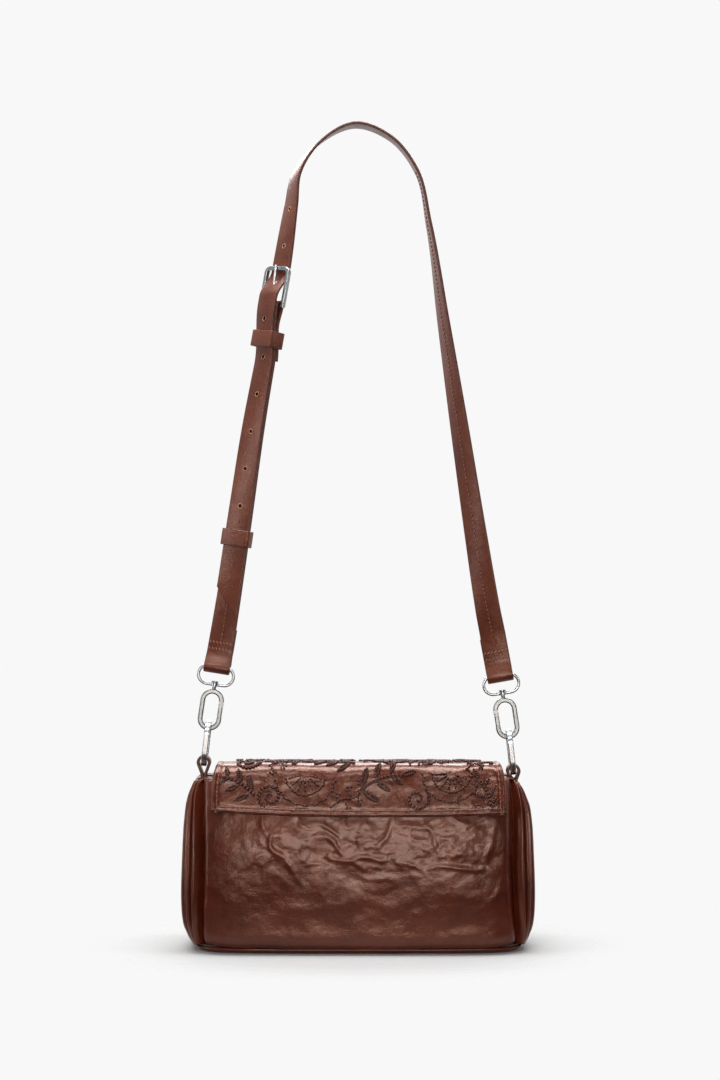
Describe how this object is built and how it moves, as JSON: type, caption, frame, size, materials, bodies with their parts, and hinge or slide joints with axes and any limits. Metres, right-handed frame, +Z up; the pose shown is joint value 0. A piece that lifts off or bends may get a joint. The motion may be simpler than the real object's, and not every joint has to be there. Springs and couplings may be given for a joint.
{
  "type": "baguette bag",
  "caption": "Small rectangular leather shoulder bag with a fold-over embroidered flap, a top zip and a buckled strap that clips to side rings on hinged hooks.",
  "frame": {"origin": "middle of the base's underside", "axes": "+Z up, +X along the bag, -Y towards the back with the short flap end, +Y towards the front with the long flap"},
  "size_m": [0.2694, 0.0855, 0.6283],
  "materials": {
    "body_leather": "glazed crinkled leather",
    "flap_leather": "glazed crinkled leather with thread embroidery",
    "strap_leather": "smooth satin leather with stitched edges",
    "lining_cloth": "woven cotton twill",
    "board": "matt fibreboard",
    "nickel": "satin nickel",
    "zip_metal": "satin nickel",
    "zip_tape": "woven herringbone tape"
  },
  "bodies": {
    "bag": {"back_panel": "body_leather", "front_panel": "body_leather", "base_panel": "body_leather", "gusset_left": "body_leather", "gusset_right": "body_leather", "lining": "lining_cloth", "base_board": "board", "slip_pocket": "lining_cloth", "zip_facing_back": "body_leather", "zip_facing_front": "body_leather", "zip_tape_back": "zip_tape", "zip_tape_front": "zip_tape", "zip_teeth_back": "zip_metal", "zip_teeth_front": "zip_metal", "zip_stops": "zip_metal", "flap_back": "flap_leather", "snap_socket": "nickel", "loop_left": "body_leather", "loop_right": "body_leather"},
    "flap_upper": {"flap_top": "flap_leather", "flap_lining_top": "lining_cloth"},
    "flap_lower": {"flap_front": "flap_leather", "flap_lining_front": "lining_cloth", "snap_stud": "nickel"},
    "slider": {"zip_slider": "zip_metal"},
    "pull": {"zip_pull": "zip_metal"},
    "links": {"link_ring_left": "nickel", "link_ring_right": "nickel"},
    "swivels": {"swivel_ring_left": "nickel", "swivel_ring_right": "nickel"},
    "left_hook": {"hook_left": "nickel", "gate_pin_left": "nickel"},
    "right_hook": {"hook_right": "nickel", "gate_pin_right": "nickel"},
    "left_gate": {"gate_left": "nickel"},
    "right_gate": {"gate_right": "nickel"},
    "strap": {"strap_long": "strap_leather", "strap_short": "strap_leather", "keeper_fixed": "strap_leather", "buckle_frame": "nickel"},
    "prong": {"buckle_prong": "nickel"},
    "free_keeper": {"keeper_sliding": "strap_leather"}
  },
  "joints": [
    {"name": "flap_top_hinge", "type": "hinge", "parent": "bag", "child": "flap_upper", "pos_m": [0, -0.02905, 0.1338], "axis": [1, 0, 0], "range_deg": [0, 25]},
    {"name": "flap_front_hinge", "type": "hinge", "parent": "flap_upper", "child": "flap_lower", "pos_m": [0, 0.03325, 0.1338], "axis": [1, 0, 0], "range_deg": [0, 75]},
    {"name": "zip_slide", "type": "slide", "parent": "bag", "child": "slider", "axis": [1, 0, 0], "range_m": [-0.186, 0]},
    {"name": "zip_pull_hinge", "type": "hinge", "parent": "slider", "child": "pull", "pos_m": [0.1005, 0, 0.13185], "axis": [0, 1, 0], "range_deg": [0, 15]},
    {"name": "links_swing", "type": "hinge", "parent": "bag", "child": "links", "pos_m": [0, 0, 0.1443], "axis": [0.9996, 0, -0.0286], "range_deg": [0, 22]},
    {"name": "hooks_swing", "type": "hinge", "parent": "links", "child": "swivels", "pos_m": [0, 0, 0.1587], "axis": [0.9996, 0, -0.0286], "range_deg": [0, 25]},
    {"name": "strap_swing", "type": "hinge", "parent": "swivels", "child": "strap", "pos_m": [0, 0, 0.20933], "axis": [0.9995, 0, -0.031], "range_deg": [0, 15]},
    {"name": "hook_swivel_left", "type": "hinge", "parent": "swivels", "child": "left_hook", "pos_m": [-0.11509, 0, 0.16625], "axis": [0.1478, 0, 0.989], "range_deg": [-20, 20]},
    {"name": "hook_swivel_right", "type": "hinge", "parent": "swivels", "child": "right_hook", "pos_m": [0.11509, 0, 0.15955], "axis": [-0.1478, 0, 0.989], "range_deg": [-20, 20]},
    {"name": "gate_hinge_left", "type": "hinge", "parent": "left_hook", "child": "left_gate", "pos_m": [-0.10501, 0, 0.18532], "axis": [0, 1, 0], "range_deg": [0, 22], "stiffness_Nm_per_rad": 0.02, "springref_deg": -20.05},
    {"name": "gate_hinge_right", "type": "hinge", "parent": "right_hook", "child": "right_gate", "pos_m": [0.10501, 0, 0.17862], "axis": [0, -1, 0], "range_deg": [0, 22], "stiffness_Nm_per_rad": 0.02, "springref_deg": -20.05},
    {"name": "prong_hinge", "type": "hinge", "parent": "strap", "child": "prong", "pos_m": [-0.06606, -0.00205, 0.48936], "axis": [0.6835, -0.7204, -0.1181], "range_deg": [0, 5]},
    {"name": "keeper_slide", "type": "slide", "parent": "strap", "child": "free_keeper", "axis": [0.1454, 0, 0.9894], "range_m": [-0.018, 0.018]}
  ]
}
